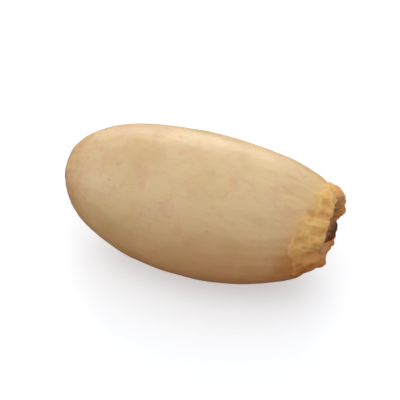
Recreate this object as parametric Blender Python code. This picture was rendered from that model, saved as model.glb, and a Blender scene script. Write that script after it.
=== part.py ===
"""A shelled pine nut: one solid kernel that lies on its belly, in metres with +Z up.

The long axis runs along X with the blunt end at -X and the tip at +X. The kernel touches the ground on
a small flat spot at Z 0, and the origin is the middle of its bounding box on the ground.
"""

import math

import bmesh
import bpy

# Driving dimensions, in metres
LENGTH = 0.0120
WIDTH = 0.0063
THICKNESS = 0.0059
REST_SPOT_CUT = 0.00018

# Outline of the body, as shares of the length, and the exponent of its blunt end's superellipse
WIDEST_AT = 0.505
BLUNTNESS = 2.12
CROWN_STARTS_AT = 0.905
TAPER_WOULD_END_AT = 1.045

# Outline of the torn crown and of the point inside it, as shares of the length and of the half width
CROWN_OUTLINE = (
    (0.926, 0.632),
    (0.948, 0.604),
    (0.968, 0.552),
    (0.980, 0.482),
    (0.975, 0.412),
    (0.957, 0.345),
    (0.948, 0.270),
    (0.953, 0.205),
    (0.970, 0.160),
    (0.984, 0.112),
    (0.984, 0.045),
    (0.979, 0.000),
)

# The tear of the crown's edge: its size in metres, where it sets in as shares of the length and of the
# half width, and its waves round the edge as a count, a height and a turn each
CROWN_TEAR_LENGTH = 0.00015
CROWN_TEAR_WIDTH = 0.00010
TEAR_ALONG = (0.935, 0.975)
TEAR_OUTWARD = (0.15, 0.40)
TEAR_WAVES = ((3, 0.50, 0.9), (7, 0.34, 2.3), (11, 0.22, 4.1))
WIDTH_WAVES_TURN = 1.7

# How far the crown slants back from its high side, how far both ends lift, and the shares of the length
# between which these set in or fade out
CROWN_SLANT = 0.00075
CROWN_HIGH_SIDE = math.radians(80.0)
SLANT_ALONG = (0.88, 0.97)
TIP_LIFT = 0.00012
TIP_LIFT_ALONG = (0.6, 1.0)
BLUNT_LIFT = 0.00020
BLUNT_LIFT_ALONG = (0.0, 0.4)

# The section's departure from an ellipse, as shares of the radius, and the bow of the long axis
BELLY_FLATNESS = 0.018
BELLY_DOWNWARD = (0.3, 1.0)
THREE_SIDEDNESS = 0.016
FACETS = 5
FACET_DEPTH = 0.013
FACET_TURN = -0.95
FACET_TWIST = 1.6
BOW = 0.00014

# The flesh's finish
FLESH_COLOUR = (0.64, 0.43, 0.22, 1.0)
FLESH_ROUGHNESS = 0.42

# Mesh resolution, and how many steps before the body's end the crown's curve takes its direction from
SEGMENTS = 52
BODY_RINGS = 26
CROWN_RINGS = 18
BODY_CURVE_STEPS = 400
CROWN_CURVE_STEPS = 24
LEAD_IN_STEPS = 11


def remove_everything():
    for thing in list(bpy.data.objects):
        bpy.data.objects.remove(thing)


def collection_named(name):
    collection = bpy.data.collections.new(name)
    bpy.context.scene.collection.children.link(collection)
    return collection


def kernel_material():
    material = bpy.data.materials.new("kernel_flesh")
    material.use_nodes = True
    shader = material.node_tree.nodes["Principled BSDF"]
    shader.inputs["Base Color"].default_value = FLESH_COLOUR
    shader.inputs["Roughness"].default_value = FLESH_ROUGHNESS
    shader.inputs["Metallic"].default_value = 0.0
    material.diffuse_color = FLESH_COLOUR
    return material


def body_outline():
    """Points from the blunt pole to the foot of the crown: a quarter superellipse, then an ellipse."""
    points = []
    for step in range(BODY_CURVE_STEPS):
        turn = 0.5 * math.pi * step / BODY_CURVE_STEPS
        back = math.cos(turn) ** (2.0 / BLUNTNESS)
        out = math.sin(turn) ** (2.0 / BLUNTNESS)
        points.append((WIDEST_AT * (1.0 - back), out))
    taper = TAPER_WOULD_END_AT - WIDEST_AT
    last_turn = math.asin((CROWN_STARTS_AT - WIDEST_AT) / taper)
    for step in range(BODY_CURVE_STEPS + 1):
        turn = last_turn * step / BODY_CURVE_STEPS
        points.append((WIDEST_AT + taper * math.sin(turn), math.cos(turn)))
    return points


def curve_through(points, steps):
    """A smooth Catmull-Rom curve through the points, which starts at the second one."""
    padded = list(points) + [(2 * points[-1][0] - points[-2][0], 2 * points[-1][1] - points[-2][1])]
    curve = []
    for index in range(1, len(padded) - 2):
        before, start, end, after = padded[index - 1 : index + 3]
        for step in range(1, steps + 1):
            t = step / steps
            curve.append(
                tuple(
                    0.5
                    * (
                        2 * start[axis]
                        + (end[axis] - before[axis]) * t
                        + (2 * before[axis] - 5 * start[axis] + 4 * end[axis] - after[axis]) * t**2
                        + (3 * start[axis] - before[axis] - 3 * end[axis] + after[axis]) * t**3
                    )
                    for axis in (0, 1)
                )
            )
    return curve


def ring_outline():
    """Where each ring of the mesh lies and its radius, from the blunt pole to the tip's pole."""
    body = body_outline()
    foot = body[-1]
    lead_in = body[-1 - LEAD_IN_STEPS]
    crown = [foot] + curve_through([lead_in, foot] + list(CROWN_OUTLINE), CROWN_CURVE_STEPS)
    body_rings = spread_evenly(at_real_size(body), BODY_RINGS)
    crown_rings = spread_evenly(at_real_size(crown), CROWN_RINGS)
    return body_rings + crown_rings[1:]


def at_real_size(shares):
    return [(LENGTH * along, 0.5 * WIDTH * out) for along, out in shares]


def spread_evenly(points, count):
    """The points of the outline at equal steps of its arc length."""
    travelled = [0.0]
    for (x0, r0), (x1, r1) in zip(points, points[1:]):
        travelled.append(travelled[-1] + math.hypot(x1 - x0, r1 - r0))
    spread = []
    index = 0
    for step in range(count + 1):
        goal = travelled[-1] * step / count
        while index < len(points) - 2 and travelled[index + 1] < goal:
            index += 1
        gap = travelled[index + 1] - travelled[index]
        share = (goal - travelled[index]) / gap if gap else 0.0
        (x0, r0), (x1, r1) = points[index], points[index + 1]
        spread.append((x0 + share * (x1 - x0), r0 + share * (r1 - r0)))
    return spread


def ease(span, value):
    """0 below the span, 1 above it, and a smooth step between."""
    low, high = span
    share = min(1.0, max(0.0, (value - low) / (high - low)))
    return share * share * (3.0 - 2.0 * share)


def tear(angle):
    """How far the crown's edge stands forward or back at this angle, from about -1 to 1."""
    return sum(height * math.sin(count * angle + turn) for count, height, turn in TEAR_WAVES)


def section(angle, along):
    """The radius at this angle as a share of an ellipse's, at this share of the length."""
    sided = THREE_SIDEDNESS * math.cos(3 * (angle - 0.5 * math.pi))
    faceted = FACET_DEPTH * math.cos(FACETS * angle + FACET_TURN + FACET_TWIST * along)
    belly = BELLY_FLATNESS * ease(BELLY_DOWNWARD, -math.sin(angle))
    return 1.0 + sided + faceted - belly


def kernel_point(along, radius, angle):
    """A point of the skin, with the blunt pole at X 0 and the axis at Z 0."""
    share = along / LENGTH
    at_crown = ease(TEAR_ALONG, share) * ease(TEAR_OUTWARD, radius / (0.5 * WIDTH))
    reach = radius * section(angle, share) + CROWN_TEAR_WIDTH * at_crown * tear(angle + WIDTH_WAVES_TURN)
    low_side = 1.0 - math.cos(angle - CROWN_HIGH_SIDE)
    slant = CROWN_SLANT * ease(SLANT_ALONG, share) * low_side * radius / WIDTH
    lift = TIP_LIFT * ease(TIP_LIFT_ALONG, share) + BLUNT_LIFT * (1.0 - ease(BLUNT_LIFT_ALONG, share))
    return (
        along + CROWN_TEAR_LENGTH * at_crown * tear(angle) - slant,
        reach * math.cos(angle) - BOW * math.sin(math.pi * share),
        reach * math.sin(angle) * THICKNESS / WIDTH + lift,
    )


def fit_to_size(vertices):
    """Flattens the belly, and brings the mesh to its named sizes with the origin under its middle."""
    lowest = min(v.co.z for v in vertices)
    for v in vertices:
        v.co.z = max(0.0, v.co.z - lowest - REST_SPOT_CUT)
    sizes = {0: LENGTH, 1: WIDTH, 2: THICKNESS}
    for axis, size in sizes.items():
        low = min(v.co[axis] for v in vertices)
        high = max(v.co[axis] for v in vertices)
        middle = low if axis == 2 else 0.5 * (low + high)
        for v in vertices:
            v.co[axis] = (v.co[axis] - middle) * size / (high - low)


def make_kernel(collection):
    bm = bmesh.new()
    last_ring = BODY_RINGS + CROWN_RINGS
    bmesh.ops.create_uvsphere(bm, u_segments=SEGMENTS, v_segments=last_ring, radius=1.0)
    outline = ring_outline()
    for v in bm.verts:
        ring = round(last_ring * math.acos(max(-1.0, min(1.0, v.co.z))) / math.pi)
        angle = math.atan2(v.co.y, v.co.x)
        along, radius = outline[ring]
        v.co = kernel_point(along, radius, angle)
    fit_to_size(list(bm.verts))
    bmesh.ops.recalc_face_normals(bm, faces=list(bm.faces))
    bmesh.ops.triangulate(bm, faces=list(bm.faces))
    mesh = bpy.data.meshes.new("pine_nut")
    bm.to_mesh(mesh)
    bm.free()
    mesh.shade_smooth()
    mesh.materials.append(kernel_material())
    kernel = bpy.data.objects.new("pine_nut", mesh)
    collection.objects.link(kernel)
    return kernel


remove_everything()
make_kernel(collection_named("pine nut"))
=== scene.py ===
"""The looks of one shelled pine nut: the fine skin of the kernel, its torn crown, and the studio round it.

Shapes are worked out in millimetres, with the blunt pole at X 0, and brought into the frame's box at the
end. A point of the skin is known by its share of the length, its radius, and its angle round the long axis,
which is 0 at +Y and a quarter turn at the top. The material reads its places in millimetres of the frame,
where X 0 is the middle of the kernel and Z 0 the ground.
"""

import math
import random

import bpy
import numpy as np
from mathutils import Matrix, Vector, noise


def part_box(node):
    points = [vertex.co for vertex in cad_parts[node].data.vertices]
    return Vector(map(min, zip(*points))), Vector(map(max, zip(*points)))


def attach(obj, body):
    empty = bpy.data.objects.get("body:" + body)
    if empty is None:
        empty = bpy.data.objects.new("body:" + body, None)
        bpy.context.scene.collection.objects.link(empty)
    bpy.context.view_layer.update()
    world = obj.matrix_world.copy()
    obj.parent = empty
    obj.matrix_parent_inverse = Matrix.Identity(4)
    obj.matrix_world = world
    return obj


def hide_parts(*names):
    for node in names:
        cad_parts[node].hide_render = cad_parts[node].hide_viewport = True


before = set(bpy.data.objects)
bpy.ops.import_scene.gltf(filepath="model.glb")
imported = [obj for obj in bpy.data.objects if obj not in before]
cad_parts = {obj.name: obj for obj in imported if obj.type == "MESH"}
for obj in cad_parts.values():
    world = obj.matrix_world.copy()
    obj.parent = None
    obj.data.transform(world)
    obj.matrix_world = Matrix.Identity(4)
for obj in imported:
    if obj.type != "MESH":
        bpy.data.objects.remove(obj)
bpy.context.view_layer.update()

NODE = "pine_nut"
BODY = "root"
MM = 0.001

# The kernel's box in the frame, in millimetres
BOX_LOW, BOX_HIGH = (np.array(corner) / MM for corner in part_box(NODE))
LENGTH, WIDTH, THICKNESS = BOX_HIGH - BOX_LOW
HALF_WIDTH = 0.5 * WIDTH

# Outline of the body, as shares of the length, and the exponent of its blunt end's superellipse
WIDEST_AT = 0.505
BLUNTNESS = 2.12
CROWN_STARTS_AT = 0.905
TAPER_WOULD_END_AT = 1.045

# Outline of the torn crown and of the point inside it, as shares of the length and of the half width, and
# the least radius that can still be the rim's
CROWN_OUTLINE = (
    (0.926, 0.632),
    (0.948, 0.604),
    (0.968, 0.552),
    (0.980, 0.482),
    (0.975, 0.412),
    (0.957, 0.345),
    (0.948, 0.270),
    (0.953, 0.205),
    (0.970, 0.160),
    (0.984, 0.112),
    (0.984, 0.045),
    (0.979, 0.000),
)
INNERMOST_RIM = 0.35

# The tear of the crown's edge: its size in mm, where it sets in as shares of the length and of the half
# width, and its waves round the edge as a count, a height and a turn each
CROWN_TEAR_LENGTH = 0.15
CROWN_TEAR_WIDTH = 0.10
TEAR_ALONG = (0.935, 0.975)
TEAR_OUTWARD = (0.15, 0.40)
TEAR_WAVES = ((3, 0.50, 0.9), (7, 0.34, 2.3), (11, 0.22, 4.1))
WIDTH_WAVES_TURN = 1.7

# How far a crown as wide as the kernel would slant back from its high side, and how far both ends lift, in
# mm, with the shares of the length between which these set in or fade out
CROWN_SLANT = 0.75
CROWN_HIGH_SIDE = math.radians(80.0)
SLANT_ALONG = (0.88, 0.97)
TIP_LIFT = 0.12
TIP_LIFT_ALONG = (0.6, 1.0)
BLUNT_LIFT = 0.20
BLUNT_LIFT_ALONG = (0.0, 0.4)

# The section's departure from an ellipse, as shares of the radius, and the bow of the long axis in mm. The
# belly flattens over a span of how far down a point faces, which is 1 at its lowest
BELLY_FLATNESS = 0.018
BELLY_DOWNWARD = (0.3, 1.0)
THREE_SIDEDNESS = 0.016
FACETS = 5
FACET_DEPTH = 0.013
FACET_TURN = -0.95
FACET_TWIST = 1.6
BOW = 0.14

# How much the rest spot takes off the belly, and how soft its edge is, in mm
REST_SPOT_CUT = 0.18
REST_SPOT_ROUNDING = 0.04

# Relief of the body: heights and sizes in mm, and spans along the kernel as shares of the length
SWELL_HEIGHT = 0.050
SWELL_SIZE = 2.8
DENT_HEIGHT = 0.016
DENT_SIZE = 1.0
WRINKLE_HEIGHT = 0.007
WRINKLE_HEIGHT_ADDED_AT_TIP = 0.018
WRINKLES_A_RADIAN = 5.5
WRINKLE_STRETCH = 2.4
WRINKLES_SET_IN = (0.02, 0.14)
WRINKLES_DEEPEN = (0.60, 0.88)
PUCKER_HEIGHT = 0.006
PUCKER_HEIGHT_ADDED_AT_BLUNT_END = 0.024
PUCKER_SIZE = 0.50
PUCKERS_FADE = (0.03, 0.20)
BODY_RELIEF_FADES = (0.895, 0.92)
CREASE_DEPTH = (0.004, 0.030)

# Pits of the skin: sizes and depth in mm, strengths as shares of the depth, and places as shares of the
# length, crowded towards the blunt end
PIT_SEED = 8
PIT_COUNT = 22
PIT_DEPTH = 0.030
PIT_SIZES = (0.035, 0.085)
PIT_STRENGTHS = (0.4, 1.0)
PIT_WIDTH_FOR_LENGTH = 0.75
FIRST_PIT_AT = 0.04
PITS_SPREAD_OVER = 0.84
PIT_CROWDING = 1.5

# The collar's ragged edge, as shares of the length. It reaches furthest back on its long side, and each of
# its waves has a kind of noise, a count for each radian and a height
COLLAR_EDGE_AT = 0.924
COLLAR_LONG_SIDE = math.radians(165.0)
COLLAR_LONG_SPREAD = 0.30
COLLAR_LONG_REACH = 0.050
COLLAR_EDGE_WAVES = (("bays", 1.5, 0.014), ("notches", 4.5, 0.016), ("nicks", 13.0, 0.008))

# Relief of the collar: heights and sizes in mm, and spans of the distance past its edge in mm. The edge
# lifts over a span of its noise, and folds rise where theirs is nearer to 0 than a level
LIFTS_A_RADIAN = 2.4
LIFTED_WHERE = (-0.15, 0.40)
FLAKE_HEIGHT = 0.006
FLAKE_HEIGHT_ADDED_WHERE_LIFTED = 0.034
FLAKE_PAST_EDGE = (-0.02, 0.06)
CURL_HEIGHT = 0.026
CURL_MIDDLE = 0.08
CURL_SPREAD = 0.07
FOLD_HEIGHT = 0.085
FOLD_LEVEL = 0.30
FOLDS_A_RADIAN = 3.6
FOLD_STRETCH = 1.5
FOLDS_PAST_EDGE = (0.05, 0.55)
LUMP_HEIGHT = 0.090
LUMP_SIZE = 0.55
LUMPS_PAST_EDGE = (-0.15, 0.35)
CRUMB_HEIGHT = 0.012
CRUMB_SIZE = 0.15
CRUMBS_PAST_EDGE = (0.0, 0.25)

# Relief inside the crown: heights and sizes in mm, and where the wall starts outward of the point, as shares
# of the half width. Rings bend by radians of their wave, and their height is a share that patches change
WALL_OUTWARD = (0.16, 0.24)
RING_HEIGHT = 0.024
RING_SPACING = 0.42
RING_WANDER = 2.4
RING_BENDS_A_RADIAN = 1.5
RING_LEVEL = 0.55
RING_PATCHINESS = 0.9
RING_PATCHES_A_RADIAN = 1.8
FIBRE_HEIGHT = 0.026
FIBRES_A_RADIAN = 6.0
FIBRE_STRETCH = 0.8
ROUGH_HEIGHT = 0.030
ROUGH_SIZE = 0.17
ROUGH_LESS_ON_WALL = 0.5
POLE_PIT_DEPTH = 0.060
POLE_PIT_SIZE = 0.11

# Teeth of the rim: a kind of noise, a count for each radian and a length in mm, and where they set in as
# shares of the length and of the half width
RIM_TEETH = (("teeth", 4.5, 0.10), ("small teeth", 14.0, 0.05))
TEETH_ALONG = (0.952, 0.978)
TEETH_OUTWARD = (0.30, 0.42)

# Borders of the masks that the material reads: in mm past the collar's edge, as shares of the length, and as
# shares of the half width. The last ones wander by a share of the half width, in waves of a size in mm
COLLAR_MASK_PAST_EDGE = (-0.02, 0.04)
GOLD_PAST_EDGE = (-0.50, 0.40)
RIM_ALONG = (0.958, 0.985)
RIM_OUTWARD = (0.34, 0.44)
HOLLOW_BORDER = (0.34, 0.47)
HOLLOW_WANDER = 0.04
HOLLOW_WANDER_SIZE = 0.3
POINT_BORDER = (0.10, 0.22)
POINT_WANDER = 0.03
POINT_WANDER_SIZE = 0.2

# The height in mm at which the mask of raised skin is 1
FULLY_RAISED = 0.08

# The kinds of noise on the mesh. A kind's number in this list, counted from 1, says how many steps its
# places are shifted, so that no two kinds look alike
NOISES = (
    "swells",
    "dents",
    "wrinkles",
    "bays",
    "notches",
    "nicks",
    "lifts",
    "folds",
    "lumps",
    "crumbs",
    "puckers",
    "ring bends",
    "fibres",
    "roughness",
    "teeth",
    "small teeth",
    "point border",
    "hollow border",
    "ring patches",
)
FIRST_SHIFT = (13.7, 5.1, 0.0)
SHIFT_STEP = (7.31, -3.77, 11.9)

# Each octave of noise is finer than the last by a ratio, and weaker by that ratio to the power of a falloff
OCTAVE_FALLOFF = 0.6
OCTAVE_RATIO = 2.1

# A stretch in mm so long that the noise is the same all along the kernel
ENDLESS = 1e9

# Mesh resolution, and the share of the length from which the rings are finer
SEGMENTS = 340
BODY_RINGS = 142
TIP_RINGS = 128
FINE_RINGS_FROM = 0.85

# Steps of the outline's curves, and how many of them before the body's end the crown's curve takes its
# direction from
BODY_CURVE_STEPS = 400
CROWN_CURVE_STEPS = 30
LEAD_IN_STEPS = 11

# How many rings before and after the rim its outer and inner side blend
RIM_BLEND_RINGS = 3

# Sockets of a colour mix node, whose names stand for other kinds of mix too
MIX_SHARE = 0
MIX_FIRST = 6
MIX_SECOND = 7
MIX_RESULT = 2

# Finish of the flesh, and how much rougher than the skin the collar and the hollow are
FLESH_FINISH = {
    "Subsurface Weight": 0.30,
    "Subsurface Radius": (1.0, 0.45, 0.20),
    "Subsurface Scale": 0.8 * MM,
    "Specular IOR Level": 0.45,
    "Coat Weight": 0.08,
    "Coat Roughness": 0.30,
}
COLLAR_ROUGHER = 0.20
HOLLOW_ROUGHER = 0.30

# How far the flesh's fibres are stretched along the kernel, and its grain: a strength, a depth in mm, and
# the weight of pores beside fibres
STREAK_STRETCH = (5.0, 1.0, 1.0)
GRAIN_STRENGTH = 0.40
GRAIN_DEPTH = 0.014
PORES_IN_GRAIN = 0.5

# How much noise makes the torn skin's colour ragged, beside the mask of gold
COLLAR_RAGGEDNESS = 0.8

# The tan of the tip and the painted shade at the blunt end, on the belly and below the tip, in mm: how
# far their borders wander and the size of their waves, how many times as far the tip's borders wander,
# how much the painted belly shade's border rises for each mm towards the tip, and how much lower it lies
# on the collar
TAN_AND_SHADE_WANDER = 1.2
TAN_AND_SHADE_WANDER_SIZE = 1.6
TIP_BORDERS_WANDER_MORE = 2.0
SHADE_SLOPE = 0.13
SHADE_LOWER_ON_COLLAR = 0.6

# The floor, in metres. Its glow keeps it white and the kernel's shadow pale
FLOOR_HALF_SIDE = 0.6
FLOOR_GAP = 0.02 * MM
FLOOR_FINISH = {
    "Base Color": (0.65, 0.675, 0.71, 1.0),
    "Roughness": 0.9,
    "Specular IOR Level": 0.2,
    "Emission Color": (1.0, 1.0, 1.0, 1.0),
    "Emission Strength": 0.42,
}

# The world is white above and warm and dim below, and blends over a span of the direction's rise, which is
# -1 straight down and 1 straight up
WORLD_ABOVE = (0.90, 0.90, 0.90, 1.0)
WORLD_BELOW = (0.175, 0.085, 0.052, 1.0)
HORIZON = (-0.25, 0.15)

# Soft lamps: name, azimuth and elevation in degrees, diameter in metres, watts and tint. All stand at one
# distance from the origin and aim at one height over it, in metres
LAMPS = (
    ("back", 200.0, 28.0, 0.20, 0.34, (1.0, 0.985, 0.96)),
    ("left", -75.0, 10.0, 0.16, 0.13, (1.0, 0.99, 1.0)),
    ("right", 70.0, 8.0, 0.16, 0.05, (1.0, 0.86, 0.68)),
)
LAMP_DISTANCE = 0.30
LAMP_AIM_HEIGHT = 0.003

# The camera, in degrees and metres, with its lens and sensor in mm
CAMERA_AZIMUTH = 20.0
CAMERA_ELEVATION = 42.0
CAMERA_DISTANCE = 0.140
CAMERA_LENS = 300.0
CAMERA_SENSOR = 36.0
CAMERA_CLIP = (0.01, 5.0)


def ease(span, value):
    """0 below the span, 1 above it, and a smooth step between."""
    low, high = span
    share = np.clip((value - low) / (high - low), 0.0, 1.0)
    return share * share * (3.0 - 2.0 * share)


def bell(middle, spread, value):
    return np.exp(-(((value - middle) / spread) ** 2))


def body_outline():
    """Points from the blunt pole to the foot of the crown: a quarter superellipse, then an ellipse."""
    blunt = np.linspace(0.0, 0.5 * math.pi, BODY_CURVE_STEPS, endpoint=False)
    blunt_out = np.sin(blunt) ** (2.0 / BLUNTNESS)
    blunt_along = WIDEST_AT * (1.0 - np.cos(blunt) ** (2.0 / BLUNTNESS))
    taper = TAPER_WOULD_END_AT - WIDEST_AT
    last_turn = math.asin((CROWN_STARTS_AT - WIDEST_AT) / taper)
    tip = np.linspace(0.0, last_turn, BODY_CURVE_STEPS)
    along = np.concatenate((blunt_along, WIDEST_AT + taper * np.sin(tip)))
    out = np.concatenate((blunt_out, np.cos(tip)))
    return np.column_stack((along, out))


def curve_through(points, steps):
    """A smooth Catmull-Rom curve from the second of the points to the last."""
    points = np.vstack((points, 2.0 * points[-1] - points[-2]))
    t = (np.arange(1, steps + 1) / steps)[:, None]
    pieces = []
    for before, start, end, after in zip(points, points[1:], points[2:], points[3:]):
        linear = end - before
        square = 2.0 * before - 5.0 * start + 4.0 * end - after
        cube = 3.0 * start - before - 3.0 * end + after
        pieces.append(0.5 * (2.0 * start + linear * t + square * t**2 + cube * t**3))
    return np.vstack(pieces)


def spread_evenly(points, count):
    """The points of the outline at equal steps of its arc length."""
    steps = np.linalg.norm(np.diff(points, axis=0), axis=1)
    travelled = np.concatenate(([0.0], np.cumsum(steps)))
    goals = np.linspace(0.0, travelled[-1], count + 1)
    return np.column_stack([np.interp(goals, travelled, points[:, axis]) for axis in (0, 1)])


def ring_outline():
    """Each ring's place along the axis and its radius, in mm, from the blunt pole to the tip's pole."""
    body = body_outline()
    foot = body[-1]
    lead_in = body[-1 - LEAD_IN_STEPS]
    crown = curve_through(np.vstack((lead_in, foot, CROWN_OUTLINE)), CROWN_CURVE_STEPS)
    whole = np.vstack((body, crown)) * (LENGTH, HALF_WIDTH)
    split = int(np.argmax(whole[:, 0] > FINE_RINGS_FROM * LENGTH))
    coarse = spread_evenly(whole[: split + 1], BODY_RINGS)
    fine = spread_evenly(whole[split:], TIP_RINGS)
    return np.vstack((coarse, fine[1:]))


def noise_at(places, kind, octaves=1):
    """Smooth noise of this kind from about -1 to 1 at each place, with lumps about 1 across."""
    number = NOISES.index(kind) + 1
    shift = Vector([start + number * step for start, step in zip(FIRST_SHIFT, SHIFT_STEP)])
    values = np.empty(places.shape[:-1])
    flat = values.ravel()
    for index, point in enumerate(places.reshape(-1, 3)):
        place = Vector(point) + shift
        if octaves == 1:
            flat[index] = noise.noise(place)
        else:
            flat[index] = noise.fractal(place, OCTAVE_FALLOFF, OCTAVE_RATIO, octaves)
    return values


def tear(angle):
    """How far the crown's edge stands forward or back at this angle, from about -1 to 1."""
    return sum(height * np.sin(count * angle + turn) for count, height, turn in TEAR_WAVES)


def section(angle, share):
    """The radius at this angle as a share of an ellipse's, at this share of the length."""
    sided = THREE_SIDEDNESS * np.cos(3 * (angle - 0.5 * math.pi))
    faceted = FACET_DEPTH * np.cos(FACETS * angle + FACET_TURN + FACET_TWIST * share)
    belly = BELLY_FLATNESS * ease(BELLY_DOWNWARD, -np.sin(angle))
    return 1.0 + sided + faceted - belly


def plain_skin(along, radius, angle):
    """The kernel's shape as the frame has it, before the fine relief."""
    share = along / LENGTH
    at_crown = ease(TEAR_ALONG, share) * ease(TEAR_OUTWARD, radius / HALF_WIDTH)
    reach = radius * section(angle, share) + CROWN_TEAR_WIDTH * at_crown * tear(angle + WIDTH_WAVES_TURN)
    low_side = 1.0 - np.cos(angle - CROWN_HIGH_SIDE)
    slant = CROWN_SLANT * ease(SLANT_ALONG, share) * low_side * radius / WIDTH
    lift = TIP_LIFT * ease(TIP_LIFT_ALONG, share) + BLUNT_LIFT * (1.0 - ease(BLUNT_LIFT_ALONG, share))
    x = along + CROWN_TEAR_LENGTH * at_crown * tear(angle) - slant
    y = reach * np.cos(angle) - BOW * np.sin(math.pi * share)
    z = reach * np.sin(angle) * THICKNESS / WIDTH + lift
    return np.stack((x, y, z), axis=-1)


def normals_of(grid):
    """Outward directions of a grid of rings, from the differences between neighbours."""
    along = np.gradient(grid, axis=0)
    around = np.roll(grid, -1, axis=1) - np.roll(grid, 1, axis=1)
    normal = np.cross(around, along)
    return normal / np.linalg.norm(normal, axis=-1, keepdims=True)


class Surface:
    """Where each grid point lies: its way along the axis, radius and point of the skin in mm, and its angle.

    The way along and the radius are there as shares too. Inside and outside say from 0 to 1 on which side of
    the crown's rim the point lies.
    """

    def __init__(self, outline):
        inner = outline[1:-1]
        angle = np.linspace(-math.pi, math.pi, SEGMENTS, endpoint=False)
        self.along, self.angle = np.meshgrid(inner[:, 0], angle, indexing="ij")
        self.radius = np.repeat(inner[:, 1:2], SEGMENTS, axis=1)
        self.share = self.along / LENGTH
        self.out = self.radius / HALF_WIDTH
        rim_ring = int(np.argmax(np.where(inner[:, 1] > INNERMOST_RIM * HALF_WIDTH, inner[:, 0], 0.0)))
        blend = (rim_ring - RIM_BLEND_RINGS, rim_ring + RIM_BLEND_RINGS)
        past_rim = ease(blend, np.arange(len(inner), dtype=float))
        self.inside = np.repeat(past_rim[:, None], SEGMENTS, axis=1)
        self.outside = 1.0 - self.inside
        self.skin = plain_skin(self.along, self.radius, self.angle)

    def streaks(self, around, stretch=ENDLESS):
        """Places for noise that runs along the kernel, with about this many lumps for each radian."""
        x = self.along / stretch
        return np.stack((x, around * np.cos(self.angle), around * np.sin(self.angle)), axis=-1)


def body_relief(s):
    """The height of swells, dents, long wrinkles and puckers, and how deep in a crease each point lies."""
    on_body = 1.0 - ease(BODY_RELIEF_FADES, s.share)
    near_blunt = 1.0 - ease(PUCKERS_FADE, s.share)
    wrinkle_height = WRINKLE_HEIGHT + WRINKLE_HEIGHT_ADDED_AT_TIP * ease(WRINKLES_DEEPEN, s.share)
    pucker_height = PUCKER_HEIGHT + PUCKER_HEIGHT_ADDED_AT_BLUNT_END * near_blunt
    swells = SWELL_HEIGHT * noise_at(s.skin / SWELL_SIZE, "swells")
    dents = DENT_HEIGHT * noise_at(s.skin / DENT_SIZE, "dents")
    wrinkles = noise_at(s.streaks(WRINKLES_A_RADIAN, WRINKLE_STRETCH), "wrinkles", 2)
    wrinkles = wrinkle_height * ease(WRINKLES_SET_IN, s.share) * wrinkles
    puckers = pucker_height * noise_at(s.skin / PUCKER_SIZE, "puckers", 3)
    fine = on_body * (dents + wrinkles + puckers)
    return swells + fine, ease(CREASE_DEPTH, -fine)


def pits(s):
    """Small pits, from 0 to 1 at their middles, more of them at the blunt end."""
    draw = random.Random(PIT_SEED)
    depth = np.zeros_like(s.share)
    for _ in range(PIT_COUNT):
        share = FIRST_PIT_AT + PITS_SPREAD_OVER * draw.random() ** PIT_CROWDING
        angle = draw.uniform(-math.pi, math.pi)
        size = draw.uniform(*PIT_SIZES)
        strength = draw.uniform(*PIT_STRENGTHS)
        around = np.angle(np.exp(1j * (s.angle - angle))) * s.radius
        away = np.hypot(PIT_WIDTH_FOR_LENGTH * (s.share - share) * LENGTH, around)
        depth = np.maximum(depth, strength * bell(0.0, size, away))
    return depth * s.outside


def past_collar_edge(s):
    """How far past the ragged edge of the torn skin each point lies, in mm."""
    long_side = np.exp((np.cos(s.angle - COLLAR_LONG_SIDE) - 1.0) / COLLAR_LONG_SPREAD)
    edge = COLLAR_EDGE_AT - COLLAR_LONG_REACH * long_side
    for kind, count, height in COLLAR_EDGE_WAVES:
        edge = edge + height * noise_at(s.streaks(count), kind)
    return (s.share - edge) * LENGTH


def collar_relief(s, past_edge):
    """The height of the torn skin round the tip: a flake with a curled edge, folds, lumps and crumbs."""
    lifted = ease(LIFTED_WHERE, noise_at(s.streaks(LIFTS_A_RADIAN), "lifts"))
    flake = ease(FLAKE_PAST_EDGE, past_edge) * (FLAKE_HEIGHT + FLAKE_HEIGHT_ADDED_WHERE_LIFTED * lifted)
    curl = CURL_HEIGHT * bell(CURL_MIDDLE, CURL_SPREAD, past_edge) * lifted
    ridges = FOLD_LEVEL - np.abs(noise_at(s.streaks(FOLDS_A_RADIAN, FOLD_STRETCH), "folds", 2))
    folds = FOLD_HEIGHT * ridges * ease(FOLDS_PAST_EDGE, past_edge)
    lumps = LUMP_HEIGHT * noise_at(s.skin / LUMP_SIZE, "lumps", 2) * ease(LUMPS_PAST_EDGE, past_edge)
    crumbs = CRUMB_HEIGHT * noise_at(s.skin / CRUMB_SIZE, "crumbs", 3) * ease(CRUMBS_PAST_EDGE, past_edge)
    return flake + curl + folds + lumps + crumbs


def hollow_relief(s):
    """The height of rings and fibres on the wall inside the crown, and of the rough point in its middle."""
    wall = ease(WALL_OUTWARD, s.out)
    patchy = RING_LEVEL + RING_PATCHINESS * noise_at(s.streaks(RING_PATCHES_A_RADIAN), "ring patches")
    bends = RING_WANDER * noise_at(s.streaks(RING_BENDS_A_RADIAN), "ring bends")
    rings = RING_HEIGHT * patchy * np.cos(2.0 * math.pi * s.radius / RING_SPACING + bends)
    fibres = FIBRE_HEIGHT * noise_at(s.streaks(FIBRES_A_RADIAN, FIBRE_STRETCH), "fibres")
    rough = ROUGH_HEIGHT * noise_at(s.skin / ROUGH_SIZE, "roughness", 2)
    pole_pit = POLE_PIT_DEPTH * bell(0.0, POLE_PIT_SIZE, s.radius)
    return wall * (rings + fibres) + (1.0 - ROUGH_LESS_ON_WALL * wall) * rough - pole_pit


def rim_teeth(s):
    """Teeth along the crown's edge: how far each point moves along X, in mm."""
    at_rim = ease(TEETH_ALONG, s.share) * ease(TEETH_OUTWARD, s.out)
    return at_rim * sum(length * noise_at(s.streaks(count), kind) for kind, count, length in RIM_TEETH)


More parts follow.
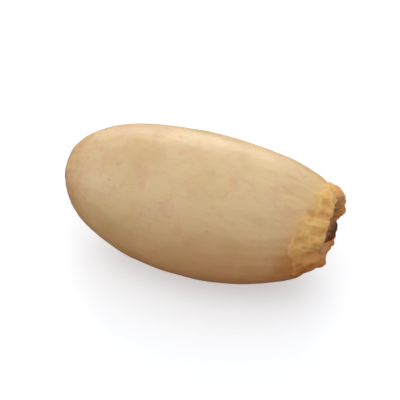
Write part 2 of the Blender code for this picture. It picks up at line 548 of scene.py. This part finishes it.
def relief(s):
    """Every grid point in mm with the fine relief, and the masks that the material reads."""
    pitted = pits(s)
    past_edge = past_collar_edge(s)
    body_height, crease_shade = body_relief(s)
    tip_height = s.outside * collar_relief(s, past_edge) + s.inside * hollow_relief(s)
    height = body_height - PIT_DEPTH * pitted + tip_height
    points = s.skin + normals_of(s.skin) * height[..., None]
    points[..., 0] += rim_teeth(s)
    hollow_wander = HOLLOW_WANDER * noise_at(s.skin / HOLLOW_WANDER_SIZE, "hollow border")
    point_wander = POINT_WANDER * noise_at(s.skin / POINT_WANDER_SIZE, "point border")
    masks = {
        "gold": ease(GOLD_PAST_EDGE, past_edge) * s.outside,
        "collar": ease(COLLAR_MASK_PAST_EDGE, past_edge) * s.outside,
        "raised": tip_height / FULLY_RAISED,
        "rim": ease(RIM_ALONG, s.share) * ease(RIM_OUTWARD, s.out),
        "pits": pitted,
        # Where the material paints shade into the body's creases
        "crease_shade": crease_shade * s.outside,
        "hollow": s.inside * (1.0 - ease(HOLLOW_BORDER, s.out + hollow_wander)),
        "dark_point": s.inside * (1.0 - ease(POINT_BORDER, s.out + point_wander)),
    }
    return points, masks


def rest_and_fit(points):
    """Flattens the belly where it rests, and brings the points into the frame's box, in metres."""
    height = points[:, 2] - points[:, 2].min() - REST_SPOT_CUT
    points[:, 2] = 0.5 * (height + np.sqrt(height**2 + REST_SPOT_ROUNDING**2))
    low = points.min(axis=0)
    size = points.max(axis=0) - low
    return ((points - low) / size * (BOX_HIGH - BOX_LOW) + BOX_LOW) * MM


def kernel_mesh():
    outline = ring_outline()
    grid, masks = relief(Surface(outline))
    poles = [plain_skin(*(np.array(value) for value in (*end, 0.0))) for end in (outline[0], outline[-1])]
    rings = grid.shape[0]
    points = rest_and_fit(np.vstack((grid.reshape(-1, 3), poles)))
    number = np.arange(rings * SEGMENTS).reshape(rings, SEGMENTS)
    following = np.roll(number, -1, axis=1)
    quads = np.stack((number[:-1], number[1:], following[1:], following[:-1]), axis=-1).reshape(-1, 4)
    blunt_pole = rings * SEGMENTS
    tip_pole = blunt_pole + 1
    faces = quads.tolist()
    faces += [(blunt_pole, int(a), int(b)) for a, b in zip(number[0], following[0])]
    faces += [(tip_pole, int(b), int(a)) for a, b in zip(number[-1], following[-1])]
    mesh = bpy.data.meshes.new("kernel")
    mesh.from_pydata(points.tolist(), [], faces)
    for name, mask in masks.items():
        values = np.concatenate((mask.ravel(), (mask[0, 0], mask[-1, 0])))
        mesh.attributes.new(name, "FLOAT", "POINT").data.foreach_set("value", values.astype(np.float32))
    mesh.shade_smooth()
    mesh.update()
    return mesh


class Nodes:
    """A short way to write a material's nodes: every call makes one node and returns its output."""

    def __init__(self, name):
        self.material = bpy.data.materials.new(name)
        self.material.use_nodes = True
        self.tree = self.material.node_tree
        self.tree.nodes.clear()

    def make(self, kind, **settings):
        node = self.tree.nodes.new(kind)
        for key, value in settings.items():
            setattr(node, key, value)
        return node

    def link(self, source, socket):
        if isinstance(source, (int, float, tuple)):
            socket.default_value = source
        else:
            self.tree.links.new(source, socket)

    def place(self, stretch=(1.0, 1.0, 1.0)):
        """Object coordinates in millimetres, stretched along the axes."""
        coordinates = self.make("ShaderNodeTexCoord").outputs["Object"]
        mapping = self.make("ShaderNodeMapping")
        self.link(coordinates, mapping.inputs["Vector"])
        mapping.inputs["Scale"].default_value = [1.0 / MM / factor for factor in stretch]
        return mapping.outputs["Vector"]

    def noise(self, place, size, detail=3.0, rough=0.5):
        node = self.make("ShaderNodeTexNoise")
        self.link(place, node.inputs["Vector"])
        node.inputs["Scale"].default_value = 1.0 / size
        node.inputs["Detail"].default_value = detail
        node.inputs["Roughness"].default_value = rough
        return node.outputs["Fac"]

    def cells(self, place, size):
        node = self.make("ShaderNodeTexVoronoi")
        self.link(place, node.inputs["Vector"])
        node.inputs["Scale"].default_value = 1.0 / size
        return node.outputs["Distance"]

    def remap(self, value, low, high, at_low=0.0, at_high=1.0):
        """A smooth step from one result at the low value to another at the high value."""
        node = self.make("ShaderNodeMapRange", interpolation_type="SMOOTHSTEP")
        self.link(value, node.inputs["Value"])
        node.inputs["From Min"].default_value = low
        node.inputs["From Max"].default_value = high
        node.inputs["To Min"].default_value = at_low
        node.inputs["To Max"].default_value = at_high
        return node.outputs["Result"]

    def maths(self, operation, first, second=0.0):
        node = self.make("ShaderNodeMath", operation=operation)
        self.link(first, node.inputs[0])
        self.link(second, node.inputs[1])
        return node.outputs["Value"]

    def times(self, first, second):
        return self.maths("MULTIPLY", first, second)

    def plus(self, first, second):
        return self.maths("ADD", first, second)

    def minus(self, first, second):
        return self.maths("SUBTRACT", first, second)

    def mix(self, share, first, second):
        node = self.make("ShaderNodeMix", data_type="RGBA")
        self.link(share, node.inputs[MIX_SHARE])
        self.link(first, node.inputs[MIX_FIRST])
        self.link(second, node.inputs[MIX_SECOND])
        return node.outputs[MIX_RESULT]

    def cover(self, first, second, where, most):
        """The first colour, covered with the second by as much as where says, and at most by this share."""
        return self.mix(self.times(where, most), first, second)

    def blotch(self, first, second, place, low, high, most=1.0, **grain):
        """The first colour, blotched with the second: none where the noise is under low, most over high."""
        return self.mix(self.remap(self.noise(place, **grain), low, high, at_high=most), first, second)

    def mask(self, name):
        return self.make("ShaderNodeAttribute", attribute_name=name).outputs["Fac"]

    def axis(self, place, name):
        node = self.make("ShaderNodeSeparateXYZ")
        self.link(place, node.inputs["Vector"])
        return node.outputs[name]

    def principled(self, settings):
        """A Principled shader with these fixed settings, on the material's output."""
        shader = self.make("ShaderNodeBsdfPrincipled")
        for name, value in settings.items():
            shader.inputs[name].default_value = value
        output = self.make("ShaderNodeOutputMaterial")
        self.link(shader.outputs["BSDF"], output.inputs["Surface"])
        return shader


def colour(red, green, blue):
    """An sRGB colour of 0 to 255 as the linear colour that a shader takes."""
    return tuple(((c / 255 + 0.055) / 1.055) ** 2.4 for c in (red, green, blue)) + (1.0,)


def skin_colour(n, place, streaks):
    """Mottled ivory with brown flecks and faint veins, and painted shade in brown in the creases."""
    ivory = colour(218, 191, 145)
    tan = colour(204, 170, 122)
    peach = colour(219, 181, 145)
    straw = colour(209, 182, 128)
    rose = colour(212, 168, 134)
    lemon = colour(216, 192, 142)
    bark = colour(180, 128, 82)

    base = n.blotch(ivory, tan, place, low=0.43, high=0.70, size=3.2, detail=2.0)
    base = n.blotch(base, peach, streaks, low=0.48, high=0.70, most=0.70, size=1.3, detail=4.0, rough=0.55)
    base = n.blotch(base, straw, place, low=0.52, high=0.70, most=0.55, size=1.6)
    base = n.blotch(base, tan, streaks, low=0.50, high=0.78, most=0.35, size=0.30, detail=5.0, rough=0.65)
    base = n.blotch(base, rose, place, low=0.50, high=0.66, most=0.55, size=0.72, detail=4.0, rough=0.60)
    base = n.blotch(base, lemon, place, low=0.52, high=0.68, most=0.55, size=0.58, detail=4.0, rough=0.60)
    flecks = n.remap(n.noise(place, size=0.34, detail=6.0, rough=0.70), low=0.56, high=0.74, at_high=0.30)
    fleck_groups = n.remap(n.noise(place, size=1.1, detail=2.0), low=0.42, high=0.62)
    base = n.mix(n.times(flecks, fleck_groups), base, bark)
    base = n.cover(base, bark, veins(n, place, streaks), most=0.16)
    # Painted shade: the creases are darkened towards bark brown
    return n.cover(base, bark, n.mask("crease_shade"), most=0.26)


def veins(n, place, streaks):
    """Where thin wandering lines run along the kernel, which come and go."""
    off_line = n.maths("ABSOLUTE", n.minus(n.noise(streaks, size=1.1, rough=0.45), 0.5))
    lines = n.remap(off_line, low=0.0, high=0.014, at_low=1.0, at_high=0.0)
    return n.times(lines, n.remap(n.noise(place, size=1.3, detail=2.0), low=0.46, high=0.62))


def specks(n, place):
    """Where tiny brown specks lie, in loose clusters."""
    dots = n.remap(n.cells(place, size=0.60), low=0.04, high=0.10, at_low=1.0, at_high=0.0)
    return n.times(dots, n.remap(n.noise(place, size=0.9, detail=1.0), low=0.57, high=0.66))


def torn_colour(n, place, base):
    """Golden papery skin with painted shade in its crevices and painted highlights on its ridges and rim."""
    golden = colour(229, 190, 112)
    amber = colour(199, 143, 75)
    highlight_wheat = colour(234, 198, 132)

    patchy = n.remap(n.noise(place, size=0.5), low=0.25, high=0.60, at_low=0.55, at_high=1.0)
    base = n.cover(base, golden, n.times(n.mask("gold"), patchy), most=0.75)
    # Painted shade: the torn skin turns amber where it lies low, in its crevices
    crevice_shade = n.remap(n.mask("raised"), low=-0.7, high=0.35, at_low=0.9, at_high=0.0)
    torn = n.mix(crevice_shade, golden, amber)
    torn = n.blotch(torn, amber, place, low=0.50, high=0.72, most=0.50, size=0.30, detail=5.0, rough=0.65)
    # Painted highlight: the torn skin turns pale wheat where it stands high, and along the rim
    torn = n.cover(torn, highlight_wheat, n.remap(n.mask("raised"), low=0.5, high=1.4), most=0.45)
    torn = n.cover(torn, highlight_wheat, n.mask("rim"), most=0.30)
    ragged = n.times(n.noise(place, size=0.45, detail=4.0, rough=0.6), COLLAR_RAGGEDNESS)
    ragged = n.remap(n.plus(n.mask("gold"), ragged), low=0.88, high=1.50, at_low=0.10, at_high=0.95)
    return n.mix(n.times(n.mask("collar"), ragged), base, torn)


def tan_and_painted_shade(n, place, base):
    """The colour turned to honey at the tip, with painted shade over it: honey at the blunt end, honey and
    russet deepening towards the bottom of the belly, and rust brown below the tip.
    """
    honey = colour(202, 148, 88)
    belly_shade_russet = colour(180, 112, 64)
    tip_shade_brown = colour(184, 108, 46)

    wander = n.times(n.noise(place, size=TAN_AND_SHADE_WANDER_SIZE), TAN_AND_SHADE_WANDER)
    along = n.axis(place, "X")
    toward_tip = n.plus(along, n.times(wander, TIP_BORDERS_WANDER_MORE))
    base = n.mix(n.remap(toward_tip, low=4.2, high=7.4, at_high=0.30), base, honey)
    # Painted shade: the blunt end is turned a little towards honey
    base = n.mix(n.remap(n.plus(along, wander), low=-5.2, high=-3.2, at_low=0.20, at_high=0.0), base, honey)
    # The height over the ground that the painted shade reads, rising towards the tip and lower on the collar
    height = n.plus(n.axis(place, "Z"), wander)
    height = n.minus(height, n.times(along, SHADE_SLOPE))
    height = n.plus(height, n.times(n.mask("collar"), SHADE_LOWER_ON_COLLAR))
    # Painted shade: honey and russet deepen towards the bottom of the belly
    base = n.mix(n.remap(height, low=1.2, high=5.8, at_low=0.62, at_high=0.0), base, honey)
    base = n.mix(n.remap(height, low=0.4, high=3.4, at_low=0.25, at_high=0.0), base, belly_shade_russet)
    # Painted shade: a rust brown patch low down below the tip
    shade_low_down = n.remap(height, low=2.5, high=4.4, at_low=0.74, at_high=0.0)
    return n.mix(n.times(n.remap(toward_tip, low=4.8, high=6.4), shade_low_down), base, tip_shade_brown)


def hollow_colour(n, place, base):
    """The tawny wall inside the crown, with painted brown shade in its creases, round a dark point."""
    tawny = colour(206, 156, 96)
    brown = colour(150, 92, 44)
    dark_brown = colour(84, 44, 18)

    wall = n.blotch(tawny, brown, place, low=0.45, high=0.70, most=0.6, size=0.26, detail=4.0, rough=0.6)
    # Painted shade: the wall's creases turn brown
    crease_shade = n.remap(n.mask("raised"), low=-0.40, high=0.15, at_low=0.60, at_high=0.0)
    wall = n.mix(crease_shade, wall, brown)
    base = n.mix(n.mask("hollow"), base, wall)
    return n.mix(n.mask("dark_point"), base, dark_brown)


def flesh_colour(n, place, streaks):
    """All the colours of the kernel, one over the other."""
    speck_brown = colour(136, 76, 34)

    base = skin_colour(n, place, streaks)
    base = n.cover(base, speck_brown, specks(n, place), most=0.35)
    base = n.cover(base, speck_brown, n.mask("pits"), most=0.50)
    base = torn_colour(n, place, base)
    base = tan_and_painted_shade(n, place, base)
    return hollow_colour(n, place, base)


def flesh_grain(n, place, streaks):
    """The finest pores and fibres, as a bump."""
    pores = n.noise(place, size=0.08, detail=4.0, rough=0.6)
    fibres = n.noise(streaks, size=0.15, detail=4.0, rough=0.6)
    bump = n.make("ShaderNodeBump")
    bump.inputs["Strength"].default_value = GRAIN_STRENGTH
    bump.inputs["Distance"].default_value = GRAIN_DEPTH * MM
    n.link(n.plus(n.times(pores, PORES_IN_GRAIN), fibres), bump.inputs["Height"])
    return bump.outputs["Normal"]


def flesh_roughness(n, place):
    """Waxy skin with duller patches, dull torn skin and a duller hollow."""
    uneven = n.noise(place, size=0.9, detail=4.0, rough=0.6)
    rough = n.remap(uneven, low=0.3, high=0.7, at_low=0.38, at_high=0.58)
    rough = n.plus(rough, n.times(n.mask("collar"), COLLAR_ROUGHER))
    return n.plus(rough, n.times(n.mask("hollow"), HOLLOW_ROUGHER))


def kernel_material():
    n = Nodes("kernel_flesh")
    place = n.place()
    streaks = n.place(STREAK_STRETCH)
    shader = n.principled(FLESH_FINISH)
    n.link(flesh_colour(n, place, streaks), shader.inputs["Base Color"])
    n.link(flesh_roughness(n, place), shader.inputs["Roughness"])
    n.link(flesh_grain(n, place, streaks), shader.inputs["Normal"])
    return n.material


def make_kernel():
    mesh = kernel_mesh()
    mesh.materials.append(kernel_material())
    kernel = bpy.data.objects.new("kernel", mesh)
    bpy.context.scene.collection.objects.link(kernel)
    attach(kernel, BODY)
    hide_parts(NODE)


def make_floor():
    """A pale floor, hidden from the kernel's bounced light: the lower half of the world takes its place."""
    n = Nodes("pale_floor")
    n.principled(FLOOR_FINISH)
    half = FLOOR_HALF_SIDE
    corners = [(x, y, -FLOOR_GAP) for x, y in ((-half, -half), (half, -half), (half, half), (-half, half))]
    mesh = bpy.data.meshes.new("floor")
    mesh.from_pydata(corners, [], [(0, 1, 2, 3)])
    mesh.materials.append(n.material)
    floor = bpy.data.objects.new("floor", mesh)
    bpy.context.scene.collection.objects.link(floor)
    floor.visible_diffuse = False
    floor.visible_glossy = False


def aim(thing, target):
    thing.rotation_euler = (target - thing.location).to_track_quat("-Z", "Y").to_euler()


def on_sphere(azimuth, elevation, distance):
    """A place round the kernel: azimuth 0 is in front, at -Y, and grows towards +X."""
    turn, rise = math.radians(azimuth), math.radians(elevation)
    flat = distance * math.cos(rise)
    return Vector((flat * math.sin(turn), -flat * math.cos(turn), distance * math.sin(rise)))


def make_lamp(name, azimuth, elevation, size, watts, tint):
    light = bpy.data.lights.new(name, "AREA")
    light.shape = "DISK"
    light.size = size
    light.energy = watts
    light.color = tint
    lamp = bpy.data.objects.new(name, light)
    lamp.location = on_sphere(azimuth, elevation, LAMP_DISTANCE)
    bpy.context.scene.collection.objects.link(lamp)
    aim(lamp, Vector((0.0, 0.0, LAMP_AIM_HEIGHT)))


def make_world():
    world = bpy.data.worlds.new("studio")
    world.use_nodes = True
    tree = world.node_tree
    background = tree.nodes["Background"]
    direction = tree.nodes.new("ShaderNodeTexCoord")
    split = tree.nodes.new("ShaderNodeSeparateXYZ")
    rise = tree.nodes.new("ShaderNodeMapRange")
    rise.interpolation_type = "SMOOTHSTEP"
    rise.inputs["From Min"].default_value, rise.inputs["From Max"].default_value = HORIZON
    blend = tree.nodes.new("ShaderNodeMix")
    blend.data_type = "RGBA"
    blend.inputs[MIX_FIRST].default_value = WORLD_BELOW
    blend.inputs[MIX_SECOND].default_value = WORLD_ABOVE
    tree.links.new(direction.outputs["Generated"], split.inputs["Vector"])
    tree.links.new(split.outputs["Z"], rise.inputs["Value"])
    tree.links.new(rise.outputs["Result"], blend.inputs[MIX_SHARE])
    tree.links.new(blend.outputs[MIX_RESULT], background.inputs["Color"])
    bpy.context.scene.world = world


def make_camera():
    data = bpy.data.cameras.new("camera")
    data.lens = CAMERA_LENS
    data.sensor_width = CAMERA_SENSOR
    data.clip_start, data.clip_end = CAMERA_CLIP
    camera = bpy.data.objects.new("camera", data)
    target = Vector((0.0, 0.0, 0.5 * THICKNESS * MM))
    camera.location = on_sphere(CAMERA_AZIMUTH, CAMERA_ELEVATION, CAMERA_DISTANCE) + target
    bpy.context.scene.collection.objects.link(camera)
    aim(camera, target)
    bpy.context.scene.camera = camera


make_kernel()
make_floor()
for lamp_facts in LAMPS:
    make_lamp(*lamp_facts)
make_world()
make_camera()
bpy.context.scene.view_settings.view_transform = "Standard"
